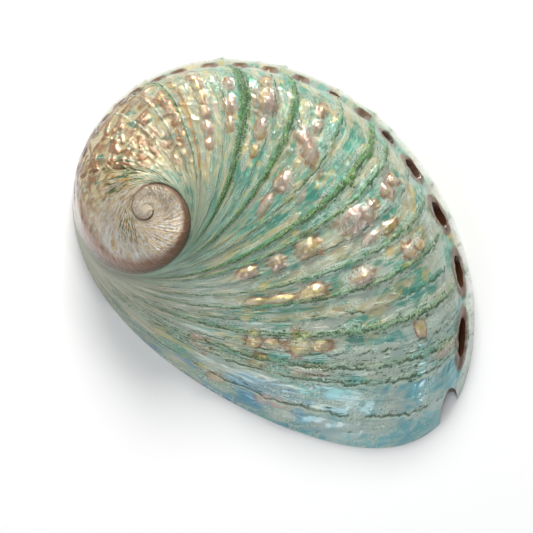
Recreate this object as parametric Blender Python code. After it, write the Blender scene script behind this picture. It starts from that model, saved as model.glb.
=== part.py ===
# Abalone shell, one solid: a whorl that widens as it turns about a tilted axis, with a
# row of holes along its shoulder, a low spire, and a hollow below that opens at the flat
# ground rim on which it rests. Metres, +Z up, front notch at +X, row of holes at +Y.
import math
import bpy
import numpy as np
from mathutils import Vector
from mathutils.bvhtree import BVHTree

MM = 0.001
DEG = math.pi / 180.0

# Rim outline seen from above: an ellipse with a taper, a bend and an S-bend
RIM_HALF_LENGTH = 75.2 * MM
RIM_HALF_WIDTH = 53.2 * MM
RIM_TAPER = -0.105
RIM_BEND = -0.119
RIM_S_BEND = -0.077
RIM_TURN = -2.0 * DEG

# The lip is the part of the rim where the shell grew last; angles on the ellipse
LIP_START = -146.7 * DEG
LIP_END = 2.2 * DEG
LIP_CORNER = 8.0 * DEG

# Growth: older shell is the lip shrunk towards the apex and turned back about the axis
APEX_PLACE = (-37.2 * MM, -24.6 * MM)
APEX_HEIGHT = 36.0 * MM
CONE_HEIGHT = 33.6 * MM
CROWN_ROUNDING = 29.0 * MM
AXIS_TILT = (-0.160, -0.330)
GROWTH_RATE = 0.365
EARLY_GROWTH_RATE = 0.254
GROWTH_CHANGE_AGE = 202.0 * DEG
GROWTH_CHANGE_SPREAD = 46.0 * DEG
SUTURE_LAG = 206.0 * DEG
OLDEST_AGE = 3.66 * SUTURE_LAG

# Shoulder that carries the holes, the side below it and the step along the suture
SHOULDER_START = 0.70
SHOULDER_DROP = 15.6 * MM
SHOULDER_RISE_AGE = 26.0 * DEG
SHOULDER_SWELL = 1.7 * MM
SHOULDER_SWELL_AGE = 26.0 * DEG
SHOULDER_SWELL_SPREAD = 13.0 * DEG
SHOULDER_SWELL_START = 10.0 * DEG
SHOULDER_TUCK = 1.9 * MM
SHOULDER_TUCK_AGE = 125.0 * DEG
SHOULDER_TUCK_SPREAD = 50.0 * DEG
SIDE_ROUNDING = 0.72
COIL_BULGE = 8.0 * MM
COIL_BULGE_START = 150.0 * DEG
COIL_BULGE_END = 235.0 * DEG
SUTURE_STEP = 1.3 * MM
SUTURE_GROOVE = 0.9 * MM
SUTURE_FALL_AGE = 68.0 * DEG
SUTURE_FALL_POWER = 1.3
SUTURE_PULL_POWER = 5
APEX_CAP_RISE = 0.3 * MM

# Wall, ground rim and the ledge inside below the holes
WALL = 2.4 * MM
RIM_WIDTH = 3.2 * MM
LEDGE_WIDTH = 11.0 * MM
LEDGE_SLOPE = 0.55
LEDGE_BACK_SLOPE = 1.3
LEDGE_MIDDLE = 98.0 * DEG
LEDGE_SPREAD = 62.0 * DEG
LEDGE_FADE = 1.6
BOWL_LEAST_SLOPE = 0.12

# Open holes: age, half length, half width; closed ones by age alone
OPEN_HOLES = (
    (13.4 * DEG, 6.4 * MM, 1.5 * MM),
    (25.6 * DEG, 5.2 * MM, 1.5 * MM),
    (37.2 * DEG, 4.6 * MM, 1.6 * MM),
    (48.2 * DEG, 3.8 * MM, 1.4 * MM),
    (57.3 * DEG, 2.6 * MM, 1.1 * MM),
    (74.0 * DEG, 1.8 * MM, 1.0 * MM),
)
CLOSED_HOLE_AGES = (65.4, 83.8, 93.0, 102.2, 112.4, 123.4, 131.5, 142.0, 150.0, 160.0, 170.0,
                    181.0, 192.0, 203.0)
CLOSED_HOLE_RADIUS = 1.5 * MM
CLOSED_HOLE_STRETCH = 1.4
CLOSED_HOLE_DEPTH = 1.4 * MM
HOLE_RIM_RISE = 0.6 * MM
HOLE_OUTWARD_LEAN = 0.1
NOTCH_HALF_LENGTH = 8.2 * MM
NOTCH_HALF_WIDTH = 2.8 * MM
NOTCH_AIM_AGE = 0.03

# Where the hole rims and closed pits lie, in half sizes of the hole
HOLE_RIM_PLACE = 1.2
HOLE_RIM_SPREAD = 0.55
CLOSED_RIM_SPREAD = 1.5
CLOSED_PIT_SPREAD = 0.75

# Plugs that cut the holes and the notch: taper, reach above and below the shell
PLUG_TOP_SHARE = 1.25
PLUG_BOTTOM_SHARE = 0.85
HOLE_PLUG_ABOVE = 5.0 * MM
HOLE_PLUG_BELOW = 7.0 * MM
NOTCH_PLUG_ABOVE = 14.0 * MM
NOTCH_PLUG_BELOW = 4.0 * MM

# Ledges left by pauses in growth: age in degrees, height
GROWTH_LEDGES = (
    (6.0, 0.5 * MM), (13.0, 0.7 * MM), (16.5, 0.5 * MM), (20.0, 0.6 * MM), (25.0, 0.8 * MM),
    (30.0, 0.5 * MM), (35.7, 0.9 * MM), (43.2, 0.7 * MM), (50.0, 0.5 * MM), (58.2, 0.8 * MM),
    (63.4, 0.9 * MM), (74.0, 0.5 * MM), (89.7, 0.9 * MM), (97.0, 0.5 * MM), (108.5, 1.1 * MM),
    (118.0, 0.5 * MM), (136.7, 1.0 * MM), (152.0, 0.6 * MM), (166.0, 0.6 * MM),
    (182.0, 0.6 * MM), (197.0, 0.6 * MM),
)
LEDGE_RUN = 3.2 * DEG
LEDGE_FRONT_STEEPNESS = 4.0

# Waves along each ledge: how many across, swing in degrees of age
LONG_WAVE = (23.0, 0.35)
SHORT_WAVE = (51.0, 0.25)
SHORT_WAVE_DRIFT = 0.1

# Relief is weaker where growth lines fan out from the suture, at the lip and on old whorls
FAN_RELIEF = 0.15
FAN_START = 0.05
FAN_SPREAD = 0.45
LIP_CALM_DEGREES = 3.0
SUTURE_CALM = 0.08
OLD_RELIEF = 1.6
SIDE_RELIEF = 1.3

# Knobs in rows, one row for each age in degrees: across, length, width, lean in degrees
KNOB_ROWS = (
    (5.0, ((0.43, 4.0, 1.8, 10), (0.52, 4.0, 1.8, 10), (0.55, 5.0, 1.8, 10))),
    (15.5, ((0.36, 6.0, 3.0, -15), (0.47, 4.5, 2.6, 10), (0.57, 8.9, 2.2, 5), (0.91, 6.0, 2.0, 0))),
    (22.5, ((0.44, 4.0, 3.4, -60), (0.475, 3.4, 2.4, 0), (0.53, 5.8, 4.8, 10), (0.57, 5.2, 2.6, 0),
            (0.81, 5.0, 2.6, 80))),
    (38.5, ((0.41, 5.0, 1.8, 0), (0.46, 7.5, 1.8, 0), (0.53, 7.0, 3.6, 0), (0.65, 5.2, 4.8, 0),
            (0.80, 4.2, 3.0, 80), (0.84, 3.0, 2.4, 70))),
    (47.0, ((0.69, 6.0, 2.0, 0), (0.74, 6.0, 2.2, 0))),
    (54.0, ((0.37, 4.4, 3.4, 0), (0.44, 4.2, 4.0, 80), (0.52, 5.6, 5.2, 0), (0.66, 8.4, 6.6, -30),
            (0.72, 3.4, 2.4, 0), (0.79, 4.0, 2.8, 60), (0.84, 2.8, 2.0, 70))),
    (81.0, ((0.44, 6.0, 2.0, 10), (0.52, 5.2, 3.6, 0), (0.65, 12.0, 3.8, 50), (0.73, 3.0, 2.4, 0),
            (0.80, 3.4, 2.6, 0))),
    (100.5, ((0.52, 3.4, 2.0, 0), (0.60, 6.0, 2.6, 0), (0.70, 7.0, 6.0, 0), (0.80, 3.4, 2.6, 0))),
    (115.0, ((0.56, 3.4, 2.0, 0), (0.64, 4.6, 2.8, 0), (0.74, 3.2, 2.4, 0))),
    (127.5, ((0.46, 3.0, 2.0, 0), (0.52, 3.8, 2.6, 0), (0.59, 4.2, 2.6, 0), (0.66, 3.8, 2.6, 0),
             (0.73, 3.8, 2.6, 0), (0.80, 3.6, 2.6, 0))),
    (145.0, ((0.48, 3.6, 2.0, 0), (0.55, 3.4, 2.4, 0), (0.62, 4.0, 3.4, 0), (0.70, 3.6, 2.8, 0))),
    (161.0, ((0.36, 4.6, 2.0, 20), (0.44, 3.4, 2.2, 0), (0.53, 3.4, 2.4, 0), (0.62, 3.6, 2.6, 0))),
    (173.0, ((0.42, 3.4, 2.2, 0), (0.51, 3.8, 2.6, 0), (0.60, 3.8, 2.6, 0), (0.66, 3.4, 2.4, 0))),
    (189.0, ((0.41, 3.8, 2.4, 0), (0.50, 3.6, 2.4, 0), (0.59, 3.6, 2.6, 0), (0.69, 3.4, 2.4, 0))),
    (201.0, ((0.45, 3.6, 2.4, 0), (0.55, 3.4, 2.4, 0), (0.66, 3.4, 2.4, 0))),
)
KNOB_RISE = 0.36
KNOB_SPREAD = 1.2
KNOB_AIM_STEP = 0.01

# Mesh density before it is thinned
ROWS_PER_LAG = 90
ACROSS_STEPS = 52
SIDE_STEPS = 6
BOWL_SPOKES = 120
BOWL_RINGS = 18
BOWL_SMOOTHING = 10
BOWL_SMOOTHING_AROUND = 0.5
BOWL_SMOOTHING_INWARD = 0.25
WALL_STEPS = 14
WALL_STEP_SHARE = 0.9
SIDE_COLUMNS = 0.1
RIM_SAMPLES = 1200
SHOULDER_SAMPLES = 400
HOLE_FRAME_STEP = 0.02
HOLE_FRAME_ACROSS = 0.93
THINNING = 0.20
PLUG_SIDES = 20

SHELL_COLOUR = (0.42, 0.62, 0.52, 1.0)
SHELL_ROUGHNESS = 0.18
SHELL_METALLIC = 0.25


def smooth_step(value):
    clipped = np.clip(value, 0.0, 1.0)
    return clipped * clipped * (3.0 - 2.0 * clipped)


def rim_point(angle):
    c, s = np.cos(angle), np.sin(angle)
    x = RIM_HALF_LENGTH * c
    y = RIM_HALF_WIDTH * (s * (1.0 + RIM_TAPER * c) + RIM_BEND * c * c + RIM_S_BEND * c ** 3)
    turn_c, turn_s = math.cos(RIM_TURN), math.sin(RIM_TURN)
    return np.stack([turn_c * x - turn_s * y, turn_s * x + turn_c * y, np.zeros_like(x)], axis=-1)


# Natural logarithm of how much smaller the shell was at an age
def shrinkage(age):
    def soft(value):
        return np.logaddexp(0.0, (value - GROWTH_CHANGE_AGE) / GROWTH_CHANGE_SPREAD) * GROWTH_CHANGE_SPREAD
    return GROWTH_RATE * age + (EARLY_GROWTH_RATE - GROWTH_RATE) * (soft(age) - soft(0.0))


def turn_about_axis(age):
    axis = np.array([AXIS_TILT[0], AXIS_TILT[1], 1.0])
    axis /= np.linalg.norm(axis)
    cross = np.array([[0, -axis[2], axis[1]], [axis[2], 0, -axis[0]], [-axis[1], axis[0], 0]])
    c, s = np.cos(age)[:, None, None], np.sin(age)[:, None, None]
    return np.eye(3) * c + (1.0 - c) * np.outer(axis, axis) + s * cross


# Smooth upper surface for arrays of ages and of fractions across, from suture 0 to shoulder 1
def upper_surface(age, across):
    age, across = np.atleast_1d(age), np.atleast_1d(across)
    apex = np.array([APEX_PLACE[0], APEX_PLACE[1], CONE_HEIGHT])
    lip = rim_point(LIP_START + (LIP_END - LIP_START) * across)
    size = np.exp(-shrinkage(age))
    points = apex + size[:, None, None] * np.einsum("tij,vj->tvi", turn_about_axis(age), lip - apex)
    crown = 1.0 - math.exp(-CONE_HEIGHT / CROWN_ROUNDING)
    points[..., 2] = APEX_HEIGHT * (1.0 - np.exp(-points[..., 2] / CROWN_ROUNDING)) / crown
    edge = np.clip((across - SHOULDER_START) / (1.0 - SHOULDER_START), 0.0, 1.0) ** 2
    points[..., 2] -= np.outer(SHOULDER_DROP * size * (1.0 - np.exp(-age / SHOULDER_RISE_AGE)), edge)
    coiled = smooth_step((age - COIL_BULGE_START) / (COIL_BULGE_END - COIL_BULGE_START))
    points[..., 2] += np.outer(COIL_BULGE * size * coiled, 4.0 * across * (1.0 - across))
    swell = SHOULDER_SWELL * np.exp(-((age - SHOULDER_SWELL_AGE) / SHOULDER_SWELL_SPREAD) ** 2)
    swell -= SHOULDER_TUCK * np.exp(-((age - SHOULDER_TUCK_AGE) / SHOULDER_TUCK_SPREAD) ** 4)
    outward = points[..., :2] - apex[:2]
    outward /= np.linalg.norm(outward, axis=-1, keepdims=True) + 1e-9
    points[..., :2] += outward * np.outer(swell * smooth_step(age / SHOULDER_SWELL_START), edge)[..., None]
    return points


# Seam where a whorl meets the shoulder of the older whorl
def suture(age):
    shoulder = upper_surface(age + SUTURE_LAG, 1.0)[:, 0]
    first = rim_point(np.array([LIP_START]))[0] - upper_surface(SUTURE_LAG, 1.0)[0, 0]
    outward = shoulder[:, :2] - np.array(APEX_PLACE)
    outward /= np.linalg.norm(outward, axis=1, keepdims=True)
    size = np.exp(-shrinkage(age))
    fall = np.exp(-(age / SUTURE_FALL_AGE) ** SUTURE_FALL_POWER)
    step = np.zeros_like(shoulder)
    step[:, :2] = outward * (SUTURE_STEP * size)[:, None]
    step[:, 2] = -SUTURE_GROOVE * size
    return shoulder + first * fall[:, None] + step * (1.0 - fall)[:, None]


# Rim angle that lies outward of the shoulder at each age, from the lip corner to its start
def side_foot_angle(age):
    angles = np.linspace(LIP_CORNER, LIP_START + 2.0 * math.pi, RIM_SAMPLES)
    rim = rim_point(angles)
    rim_bearing = np.unwrap(np.arctan2(rim[:, 1] - APEX_PLACE[1], rim[:, 0] - APEX_PLACE[0]))
    ages = np.linspace(0.0, SUTURE_LAG, SHOULDER_SAMPLES)
    shoulder = upper_surface(ages, 1.0)[:, 0]
    bearing = np.unwrap(np.arctan2(shoulder[:, 1] - APEX_PLACE[1], shoulder[:, 0] - APEX_PLACE[0]))
    reach = (bearing - bearing[0]) / (bearing[-1] - bearing[0])
    wanted = rim_bearing[0] + reach * (rim_bearing[-1] - rim_bearing[0])
    wanted_at_age = np.interp(age, ages, wanted)
    return np.interp(wanted_at_age, rim_bearing, angles)


# Knob centres, sizes and directions in plan, gathered from the rows
def knob_places():
    places = []
    for age_degrees, knobs in KNOB_ROWS:
        age = age_degrees * DEG
        for across, length, width, lean in knobs:
            centre, ahead = upper_surface(age, np.array([across, across + KNOB_AIM_STEP]))[0]
            direction = math.atan2(ahead[1] - centre[1], ahead[0] - centre[0]) + lean * DEG
            places.append((centre, 0.5 * length * MM, 0.5 * width * MM, direction))
    return places


# Height of an oval bump or ring around a centre, as its distance in half sizes
def oval_distance(points, centre, half_length, half_width, direction):
    dx, dy = points[..., 0] - centre[0], points[..., 1] - centre[1]
    along = dx * math.cos(direction) + dy * math.sin(direction)
    aside = dy * math.cos(direction) - dx * math.sin(direction)
    return np.sqrt((along / half_length) ** 2 + (aside / half_width) ** 2)


def shoulder_frame(age):
    ages = np.array([age - HOLE_FRAME_STEP, age, age + HOLE_FRAME_STEP])
    before, centre, after = upper_surface(ages, 1.0)[:, 0]
    inner = upper_surface(age, HOLE_FRAME_ACROSS)[0, 0]
    tangent = Vector(after - before).normalized()
    normal = tangent.cross(Vector(inner - centre)).normalized()
    if normal.z < 0.0:
        normal.negate()
    outward = Vector((centre[0] - APEX_PLACE[0], centre[1] - APEX_PLACE[1], 0.0)).normalized()
    return Vector(centre), tangent, (normal + HOLE_OUTWARD_LEAN * outward).normalized()


# Height of ledges, knobs and hole rims above the smooth surface
def relief(points, age, across):
    ages = age[:, None] / DEG
    size = np.exp(-shrinkage(age))[:, None]
    height = np.zeros(points.shape[:2])
    wave = LONG_WAVE[1] * np.sin(across * LONG_WAVE[0])
    wave = wave + SHORT_WAVE[1] * np.sin(across * SHORT_WAVE[0] + ages * SHORT_WAVE_DRIFT)
    fan_fade = FAN_RELIEF + (1.0 - FAN_RELIEF) * smooth_step((across - FAN_START) / FAN_SPREAD)
    for ledge_age, ledge_height in GROWTH_LEDGES:
        behind = (ages - ledge_age + wave) * DEG / LEDGE_RUN
        profile = np.where(behind > 0.0, np.exp(-behind), smooth_step(1.0 + behind * LEDGE_FRONT_STEEPNESS))
        height += ledge_height * profile * fan_fade
    for centre, half_length, half_width, direction in knob_places():
        distance = oval_distance(points, centre, half_length * KNOB_SPREAD, half_width * KNOB_SPREAD,
                                 direction)
        height += 2.0 * half_width * KNOB_RISE * np.exp(-distance ** 4)
    for hole_age, half_length, half_width in OPEN_HOLES:
        centre, tangent, _ = shoulder_frame(hole_age)
        direction = math.atan2(tangent.y, tangent.x)
        distance = oval_distance(points, centre, half_length, half_width, direction)
        height += HOLE_RIM_RISE * np.exp(-((distance - HOLE_RIM_PLACE) / HOLE_RIM_SPREAD) ** 2)
    for hole_degrees in CLOSED_HOLE_AGES:
        centre, tangent, _ = shoulder_frame(hole_degrees * DEG)
        direction = math.atan2(tangent.y, tangent.x)
        distance = oval_distance(points, centre, CLOSED_HOLE_STRETCH * CLOSED_HOLE_RADIUS,
                                 CLOSED_HOLE_RADIUS, direction)
        height += HOLE_RIM_RISE * np.exp(-(distance / CLOSED_RIM_SPREAD) ** 2)
        height -= CLOSED_HOLE_DEPTH * np.exp(-(distance / CLOSED_PIT_SPREAD) ** 2)
    fade = smooth_step(ages / LIP_CALM_DEGREES) * smooth_step(across / SUTURE_CALM)
    return height * fade * np.minimum(1.0, OLD_RELIEF * size)


def surface_normals(points):
    along = np.gradient(points, axis=0)
    aside = np.gradient(points, axis=1)
    normal = np.cross(along, aside)
    normal /= np.linalg.norm(normal, axis=2, keepdims=True) + 1e-12
    return np.where(normal[..., 2:3] < 0.0, -normal, normal)


# Grid of the outside: each row is one growth line from the suture over the shoulder to the foot
def outside_grid():
    step = SUTURE_LAG / ROWS_PER_LAG
    rows = int(round(OLDEST_AGE / step)) + 1
    age = np.arange(rows) * step
    across = np.linspace(0.0, 1.0, ACROSS_STEPS + 1)
    upper = upper_surface(age, across)
    seam = suture(age)
    upper += (seam - upper[:, 0])[:, None, :] * ((1.0 - across) ** SUTURE_PULL_POWER)[None, :, None]
    shoulder = upper[:, -1]
    foot = np.empty_like(shoulder)
    foot[:ROWS_PER_LAG] = rim_point(side_foot_angle(age[:ROWS_PER_LAG]))
    foot[ROWS_PER_LAG:] = seam[:rows - ROWS_PER_LAG]
    down = np.linspace(0.0, 1.0, SIDE_STEPS + 1)[1:]
    side = np.empty((rows, SIDE_STEPS, 3))
    drop = foot - shoulder
    side[..., :2] = shoulder[:, None, :2] + drop[:, None, :2] * (down ** SIDE_ROUNDING)[None, :, None]
    side[..., 2] = shoulder[:, None, 2] + drop[:, None, 2] * (down ** (1.0 / SIDE_ROUNDING))[None, :]
    grid = np.concatenate([upper, side], axis=1)
    columns = np.concatenate([across, 1.0 + down * SIDE_COLUMNS])
    lift = relief(grid, age, columns)
    lift *= smooth_step((1.0 - np.clip((columns - 1.0) / SIDE_COLUMNS, 0.0, 1.0)) * SIDE_RELIEF)
    grid[:, 1:-1] += (surface_normals(grid) * lift[..., None])[:, 1:-1]
    grid[0] = np.concatenate([upper[0], side[0]])
    return grid


# Vertex list and faces of the outside, with each foot shared with the younger whorl's suture
def outside_sheet():
    grid = outside_grid()
    rows, columns = grid.shape[:2]
    index = np.full((rows, columns), -1, dtype=int)
    vertices = []
    for i in range(rows):
        for j in range(columns):
            if j == columns - 1 and i >= ROWS_PER_LAG:
                index[i, j] = index[i - ROWS_PER_LAG, 0]
                continue
            index[i, j] = len(vertices)
            vertices.append(tuple(grid[i, j]))
    faces = []
    for i in range(rows - 1):
        for j in range(columns - 1):
            faces.append((index[i, j], index[i, j + 1], index[i + 1, j + 1], index[i + 1, j]))
    crown = [index[i, 0] for i in range(rows - ROWS_PER_LAG - 1, rows)] + list(index[rows - 1, 1:])
    middle = np.mean([vertices[k] for k in crown], axis=0)
    middle[2] += APEX_CAP_RISE
    vertices.append(tuple(middle))
    for first, second in zip(crown, crown[1:]):
        faces.append((first, second, len(vertices) - 1))
    boundary = list(index[0]) + list(index[1:ROWS_PER_LAG, columns - 1])
    return vertices, faces, boundary


# Height of the inside below the outside, one wall thickness away, kept above the ground rim
def bowl_height(tree, x, y, from_rim, ledge):
    hit = tree.ray_cast(Vector((x, y, -1.0)), Vector((0.0, 0.0, 1.0)))[0]
    z = hit.z - WALL
    for _ in range(WALL_STEPS):
        distance = tree.find_nearest(Vector((x, y, z)))[3]
        if distance < WALL:
            z -= WALL_STEP_SHARE * (WALL - distance)
    beyond = max(0.0, from_rim - LEDGE_WIDTH)
    ledge_top = LEDGE_SLOPE * min(from_rim, LEDGE_WIDTH) + LEDGE_BACK_SLOPE * beyond
    limited = min(z, ledge_top)
    z = z + (limited - z) * ledge
    return max(z, BOWL_LEAST_SLOPE * from_rim)


# Evenly spaced inner edge of the ground rim
def inner_edge(outer):
    tangent = np.roll(outer, -1, axis=0) - np.roll(outer, 1, axis=0)
    tangent /= np.linalg.norm(tangent, axis=1, keepdims=True)
    inner = outer + np.stack([-tangent[:, 1], tangent[:, 0]], axis=1) * RIM_WIDTH
    bearing = np.unwrap(np.arctan2(inner[:, 1], inner[:, 0]))
    wanted = bearing[0] + np.arange(BOWL_SPOKES) * (2.0 * math.pi / BOWL_SPOKES)
    distance = np.interp(wanted, bearing, np.hypot(inner[:, 0], inner[:, 1]), period=2.0 * math.pi)
    return np.stack([distance * np.cos(wanted), distance * np.sin(wanted)], axis=1), wanted


# Rings of the inside from the inner edge of the rim up to the middle
def bowl_rings(vertices, faces, boundary):
    tree = BVHTree.FromPolygons([Vector(v) for v in vertices], faces)
    inner, bearing = inner_edge(np.array([vertices[k] for k in boundary])[:, :2])
    away = np.abs((bearing - LEDGE_MIDDLE + math.pi) % (2.0 * math.pi) - math.pi)
    ledge = smooth_step(LEDGE_FADE * (1.0 - away / LEDGE_SPREAD))
    shares = np.cos(np.linspace(0.0, 0.5 * math.pi, BOWL_RINGS + 1))[:-1]
    rings = np.zeros((BOWL_RINGS, BOWL_SPOKES, 3))
    for ring, share in enumerate(shares):
        rings[ring, :, :2] = inner * share
        if ring == 0:
            continue
        for k, (x, y) in enumerate(inner * share):
            from_rim = math.hypot(*(inner[k] * (1.0 - share)))
            rings[ring, k, 2] = bowl_height(tree, x, y, from_rim, ledge[k])
    for _ in range(BOWL_SMOOTHING):
        heights = rings[..., 2]
        around = 0.5 * (np.roll(heights, 1, axis=1) + np.roll(heights, -1, axis=1))
        heights[1:] += BOWL_SMOOTHING_AROUND * (around - heights)[1:]
        inward = 0.5 * (heights[1:-2] + heights[3:])
        heights[2:-1] += BOWL_SMOOTHING_INWARD * (inward - heights[2:-1])
    return rings, float(rings[-1, :, 2].mean())


# Faces of the flat ground rim between two closed loops with unlike numbers of points
def ground_rim_faces(outer, inner, points):
    def bearings(loop):
        xy = np.array([points[k][:2] for k in loop + loop[:1]])
        return np.unwrap(np.arctan2(xy[:, 1], xy[:, 0]))
    outer_bearing, inner_bearing = bearings(outer), bearings(inner)
    faces = []
    i = j = 0
    while i < len(outer) or j < len(inner):
        step_outer = j == len(inner)
        if i < len(outer) and not step_outer:
            outer_turn = outer_bearing[i + 1] - outer_bearing[0]
            step_outer = outer_turn < inner_bearing[j + 1] - inner_bearing[0]
        here, there = outer[i % len(outer)], inner[j % len(inner)]
        if step_outer:
            faces.append((here, there, outer[(i + 1) % len(outer)]))
            i += 1
        else:
            faces.append((here, there, inner[(j + 1) % len(inner)]))
            j += 1
    return faces


def shell_mesh():
    vertices, faces, boundary = outside_sheet()
    rings, top = bowl_rings(vertices, faces, boundary)
    loops = []
    for ring in rings:
        loops.append(list(range(len(vertices), len(vertices) + BOWL_SPOKES)))
        vertices.extend(tuple(point) for point in ring)
    faces.extend(ground_rim_faces(boundary, loops[0], vertices))
    for outer, inner in zip(loops, loops[1:]):
        for k in range(BOWL_SPOKES):
            after = (k + 1) % BOWL_SPOKES
            faces.append((outer[k], inner[k], inner[after], outer[after]))
    vertices.append((0.0, 0.0, top))
    for k in range(BOWL_SPOKES):
        faces.append((loops[-1][k], len(vertices) - 1, loops[-1][(k + 1) % BOWL_SPOKES]))
    points = np.array(vertices)
    middle = 0.5 * (points.min(axis=0) + points.max(axis=0))
    middle[2] = 0.0
    mesh = bpy.data.meshes.new("abalone_shell")
    mesh.from_pydata([tuple(p) for p in points - middle], [], faces)
    mesh.update()
    return mesh, Vector(middle)


def shell_material():
    material = bpy.data.materials.new("nacre")
    material.use_nodes = True
    shader = material.node_tree.nodes["Principled BSDF"]
    shader.inputs["Base Color"].default_value = SHELL_COLOUR
    shader.inputs["Roughness"].default_value = SHELL_ROUGHNESS
    shader.inputs["Metallic"].default_value = SHELL_METALLIC
    return material


# Tapered oval plug that cuts one hole, from above the shell down into the hollow
def oval_plug(name, centre, tangent, direction, half_length, half_width, above, below):
    across = direction.cross(tangent).normalized()
    along = across.cross(direction).normalized()
    vertices = []
    for depth, grow in ((above, PLUG_TOP_SHARE), (-below, PLUG_BOTTOM_SHARE)):
        for k in range(PLUG_SIDES):
            angle = 2.0 * math.pi * k / PLUG_SIDES
            offset = along * (math.cos(angle) * half_length * grow)
            offset += across * (math.sin(angle) * half_width * grow)
            vertices.append(centre + direction * depth + offset)
    faces = [tuple(reversed(range(PLUG_SIDES, 2 * PLUG_SIDES))), tuple(range(PLUG_SIDES))]
    for k in range(PLUG_SIDES):
        after = (k + 1) % PLUG_SIDES
        faces.append((k, k + PLUG_SIDES, after + PLUG_SIDES, after))
    mesh = bpy.data.meshes.new(name)
    mesh.from_pydata(vertices, [], faces)
    plug = bpy.data.objects.new(name, mesh)
    bpy.context.scene.collection.objects.link(plug)
    plug.hide_render = True
    plug.display_type = "WIRE"
    return plug


def add_cut(shell, plug):
    cut = shell.modifiers.new(plug.name, "BOOLEAN")
    cut.operation = "DIFFERENCE"
    cut.solver = "EXACT"
    cut.object = plug


def build_shell():
    mesh, middle = shell_mesh()
    mesh.materials.append(shell_material())
    shell = bpy.data.objects.new("abalone_shell", mesh)
    bpy.context.scene.collection.objects.link(shell)
    thin = shell.modifiers.new("thin", "DECIMATE")
    thin.ratio = THINNING
    for number, (age, half_length, half_width) in enumerate(OPEN_HOLES):
        centre, tangent, direction = shoulder_frame(age)
        plug = oval_plug(f"hole_plug_{number}", centre - middle, tangent, direction,
                         half_length, half_width, HOLE_PLUG_ABOVE, HOLE_PLUG_BELOW)
        add_cut(shell, plug)
    _, tangent, _ = shoulder_frame(NOTCH_AIM_AGE)
    tangent.z = 0.0
    notch = Vector(rim_point(np.array([LIP_END]))[0]) - middle
    plug = oval_plug("notch_plug", notch, tangent.normalized(), Vector((0.0, 0.0, 1.0)),
                     NOTCH_HALF_LENGTH, NOTCH_HALF_WIDTH, NOTCH_PLUG_ABOVE, NOTCH_PLUG_BELOW)
    add_cut(shell, plug)
    mesh.shade_smooth()
    return shell


for old in list(bpy.data.objects):
    bpy.data.objects.remove(old, do_unlink=True)
build_shell()
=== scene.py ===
import math
import bpy
import numpy as np
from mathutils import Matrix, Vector
from mathutils.bvhtree import BVHTree


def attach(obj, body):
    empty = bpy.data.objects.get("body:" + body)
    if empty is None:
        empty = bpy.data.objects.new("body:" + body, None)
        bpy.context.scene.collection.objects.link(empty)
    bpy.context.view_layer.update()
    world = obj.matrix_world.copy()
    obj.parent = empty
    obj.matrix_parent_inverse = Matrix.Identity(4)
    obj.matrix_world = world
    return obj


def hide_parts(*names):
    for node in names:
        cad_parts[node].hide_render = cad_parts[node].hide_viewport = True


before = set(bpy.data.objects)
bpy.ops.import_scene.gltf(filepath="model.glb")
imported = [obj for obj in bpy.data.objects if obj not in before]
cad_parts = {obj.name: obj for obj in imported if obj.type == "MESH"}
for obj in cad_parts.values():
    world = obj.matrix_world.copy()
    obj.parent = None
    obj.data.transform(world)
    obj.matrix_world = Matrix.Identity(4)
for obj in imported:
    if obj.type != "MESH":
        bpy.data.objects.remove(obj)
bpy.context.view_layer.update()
mm = 0.001
deg = math.pi / 180.0

# The growth rule: the lip is one stretch of the rim, and older shell is that lip shrunk
# towards the apex and turned back about the axis, one whorl under the next
growth = {
    "Half Length": 75.2 * mm,
    "Half Width": 53.2 * mm,
    "Rim Taper": -0.105,
    "Rim Bend": -0.119,
    "Rim S Bend": -0.077,
    "Rim Turn": -2.0 * deg,
    "Lip Start": -146.7 * deg,
    "Lip End": 2.2 * deg,
    "Apex": (-37.2 * mm, -24.6 * mm, 33.6 * mm),
    "Crown Height": 36.0 * mm,
    "Crown Rounding": 29.0 * mm,
    "Axis": (-0.160, -0.330, 1.0),
    "Growth Rate": 0.365,
    "Early Growth Rate": 0.254,
    "Growth Change": 202.0 * deg,
    "Growth Change Spread": 46.0 * deg,
    "Suture Lag": 206.0 * deg,
    "Shoulder Start": 0.70,
    "Shoulder Drop": 15.6 * mm,
    "Shoulder Rise": 26.0 * deg,
    "Shoulder Swell": 1.7 * mm,
    "Shoulder Tuck": 1.9 * mm,
    "Coil Bulge": 8.0 * mm,
    "Coil Start": 150.0 * deg,
    "Coil End": 235.0 * deg,
}

# How the whorls meet, and the relief on them
relief = {
    "Side Rounding": 0.72,
    "Suture Step": 1.3 * mm,
    "Suture Groove": 0.9 * mm,
    "Suture Fall": 68.0 * deg,
    "Ledge Run": 3.2 * deg,
    "Ledge Wander": 0.9,
    "Knob Rise": 0.42,
    "Knob Roundness": 2.6,
    "Knob Lumps": 1.1,
    "Worn Lumps": 1.2,
    "Knob Wear": 0.6,
    "Wear Start": 138.0 * deg,
    "Wear End": 150.0 * deg,
    "Hole Rim": 0.6 * mm,
    "Closed Hole Depth": 1.4 * mm,
    "Striae": 0.10 * mm,
    "Wrinkles": 0.95 * mm,
    "Crust": 0.22 * mm,
    "Seed": 4.0,
}

# Mesh density of each whorl: rows along its growth, steps across it and down its side
whorlRows = (344, 172, 172)
whorlSteps = (168, 60, 24)
sideSteps = (9, 4, 3)
oldestShare = 0.64         # of the next whorl, as far as the tip is built
farFromEdge = 9.0          # mm, more than any ledge's pattern reaches
foldTurn = ((45.0, -111.0), (39.0, 128.0))     # age and across on the slanting folds, in mm

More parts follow.
